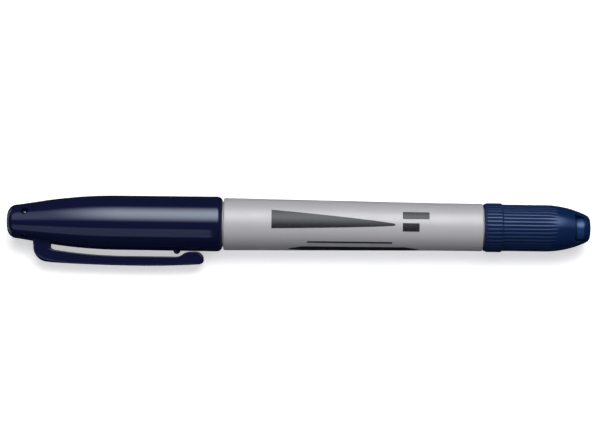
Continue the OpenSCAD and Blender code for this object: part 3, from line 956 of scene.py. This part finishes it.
def small_cap_liner():
    """Inner seal cap, which shows behind the windows with a shallow groove round its nose."""
    mouth = stations("small_cap_liner")[0]
    skirt = 4
    seal = ULTRA_LAND_R + 0.05
    inside = 2.9
    nose = NOSE_HOLLOW_R - 0.05
    floor_r = nose - SEAL_GROOVE_D
    wall = 0.7
    profile = [(END_S, 0)] + rounded([
        (END_S, nose, 0.15), (SEAL_GROOVE_S + 0.34, nose), (SEAL_GROOVE_S + 0.26, floor_r),
        (SEAL_GROOVE_S + 0.08, floor_r), (SEAL_GROOVE_S, nose), (NOSE_HOLLOW_S, nose, 0.1),
        (NOSE_NECK_S, 3.9, 0.5), (GRIP_END, skirt), (mouth, skirt, 0.2), (mouth, seal, 0.3),
        (mouth + 5, seal, 0.5), (GRIP_END - 1, inside, 0.5), (NOSE_NECK_S, inside, 0.3),
        (NOSE_HOLLOW_S, nose - wall, 0.3), (END_S - wall, nose - wall), (END_S - wall, 0)
    ], 4)
    piece = lathe("small_cap_seal", profile, 128, closed=False)
    finish_piece(piece, LINER_PLASTIC, "small_cap", ["small_cap_liner"])


# ---------------------------------------------------------------- studio
SWEEP_R = 2.5
FLOOR_GLOW = 0.48
FAR_GLOW = 0.97
GLOW_START = 0.25
GLOW_END = 0.7


def floor():
    """A flat pale floor that meets a pale dome, so the marker stands on plain paper from every side."""
    bm = bmesh.new()
    bmesh.ops.create_uvsphere(bm, u_segments=64, v_segments=32, radius=SWEEP_R)
    for v in bm.verts:
        v.co.z = max(0, v.co.z)
    bmesh.ops.reverse_faces(bm, faces=bm.faces)
    mesh = bpy.data.meshes.new("floor")
    bm.to_mesh(mesh)
    bm.free()
    piece = bpy.data.objects.new("floor", mesh)
    bpy.context.scene.collection.objects.link(piece)
    material, nodes, links, shader = new_material("floor_paper")
    cloud = noise(nodes, links, scale=60)
    links.new(tint(nodes, links, cloud, (0.88, 0.88, 0.88), (0.9, 0.9, 0.9)), shader.inputs["Base Color"])
    where = nodes.new("ShaderNodeTexCoord")
    reach = vector_node(nodes, links, "LENGTH", where.outputs["Object"])
    glow = ramp(nodes, links, reach.outputs["Value"], GLOW_START, GLOW_END, FLOOR_GLOW, FAR_GLOW)
    links.new(glow, shader.inputs["Emission Strength"])
    shader.inputs["Emission Color"].default_value = (1, 1, 1, 1)
    shader.inputs["Roughness"].default_value = 0.9
    shader.inputs["Specular IOR Level"].default_value = 0.1
    mesh.materials.append(material)
    piece.visible_glossy = False
    piece.visible_diffuse = False
    piece.visible_shadow = False


def fade(nodes, links, coordinate, flat):
    """Full over the flat share of a 0 to 1 coordinate's middle, falling smoothly to nothing at its ends."""
    offset = math_node(nodes, links, "SUBTRACT", coordinate, 0.5)
    size = math_node(nodes, links, "ABSOLUTE", offset)
    return ramp(nodes, links, size, 0.5, flat / 2, 0, 1)


def soften(light, flat_wide, flat_tall):
    """Gives an area light a bright middle that fades to its edges, as a lit diffuser has."""
    light.data.use_nodes = True
    nodes, links = light.data.node_tree.nodes, light.data.node_tree.links
    place = nodes.new("ShaderNodeNewGeometry")
    split = nodes.new("ShaderNodeSeparateXYZ")
    links.new(place.outputs["Parametric"], split.inputs[0])
    wide = fade(nodes, links, split.outputs["X"], flat_wide)
    tall = fade(nodes, links, split.outputs["Y"], flat_tall)
    both = math_node(nodes, links, "MULTIPLY", wide, tall)
    links.new(both, nodes["Emission"].inputs["Strength"])


def area_light(name, out, up, place, wide, tall, power, colour):
    """A rectangular light that shines back along out and that the camera doesn't see."""
    data = bpy.data.lights.new(name, "AREA")
    data.shape = "RECTANGLE"
    data.size = wide
    data.size_y = tall
    data.energy = power
    data.color = colour
    light = bpy.data.objects.new(name, data)
    turn = Matrix((up.cross(out), up, out)).transposed()
    light.matrix_world = Matrix.Translation(place) @ turn.to_4x4()
    light.visible_camera = False
    bpy.context.scene.collection.objects.link(light)
    return light


def softbox(name, angle, distance, tall, wide, power, colour=(1, 1, 1), along=0.0):
    """A light that faces the marker, at an angle from the camera towards the image's top."""
    a = math.radians(angle)
    out = TOWARDS_CAMERA * math.cos(a) + IMAGE_UP * math.sin(a)
    up = IMAGE_UP * math.cos(a) - TOWARDS_CAMERA * math.sin(a)
    place = AIM + out * distance + Vector((along, 0, 0))
    return area_light(name, out, up, place, wide, tall, power, colour)


def side_panel(name, angle, distance, tall, wide, power, colour):
    """A light to the marker's left, at an angle from the camera towards the image's left."""
    a = math.radians(angle)
    out = TOWARDS_CAMERA * math.cos(a) - Vector((math.sin(a), 0, 0))
    return area_light(name, out, IMAGE_UP, AIM + out * distance, wide, tall, power, colour)


def fill_light(name, angle, power):
    """A broad soft light that is not seen as a reflection."""
    light = softbox(name, angle, distance=0.7, tall=0.6, wide=1.0, power=power)
    light.visible_glossy = False


def studio():
    """The floor, the lights and a faint blue world. Two of the lights are seen only as reflections."""
    floor()
    overhead = softbox(
        "overhead_softbox", 40, distance=0.6, tall=0.92, wide=0.78, power=12.9,
        colour=(0.98, 0.99, 1), along=0.07)
    soften(overhead, flat_wide=0.27, flat_tall=0)
    diffuser = softbox(
        "wide_diffuser", 37, distance=0.65, tall=0.9, wide=2.2, power=7.5, colour=(0.68, 0.78, 1))
    soften(diffuser, flat_wide=0.6, flat_tall=0.3)
    diffuser.visible_diffuse = False
    low = softbox(
        "low_panel", -42, distance=0.6, tall=0.38, wide=0.7, power=0.55, colour=(0.66, 0.7, 1), along=-0.371)
    low.visible_diffuse = False
    side_panel("left_panel", 114, distance=0.7, tall=1.2, wide=0.3, power=0.9, colour=(0.75, 0.8, 1))
    fill_light("front_fill", -25, power=1.9)
    fill_light("floor_bounce", -155, power=0.8)
    world = bpy.data.worlds.new("studio")
    world.use_nodes = True
    world.node_tree.nodes["Background"].inputs["Color"].default_value = (0.4, 0.55, 1, 1)
    world.node_tree.nodes["Background"].inputs["Strength"].default_value = 0.03
    bpy.context.scene.world = world
    bpy.context.scene.view_settings.view_transform = "Standard"


barrel()
barrel_print()
fine_tip()
ultra_fine_tip()
main_cap()
main_cap_liner()
clip()
small_cap()
small_cap_liner()
reservoir()
studio()
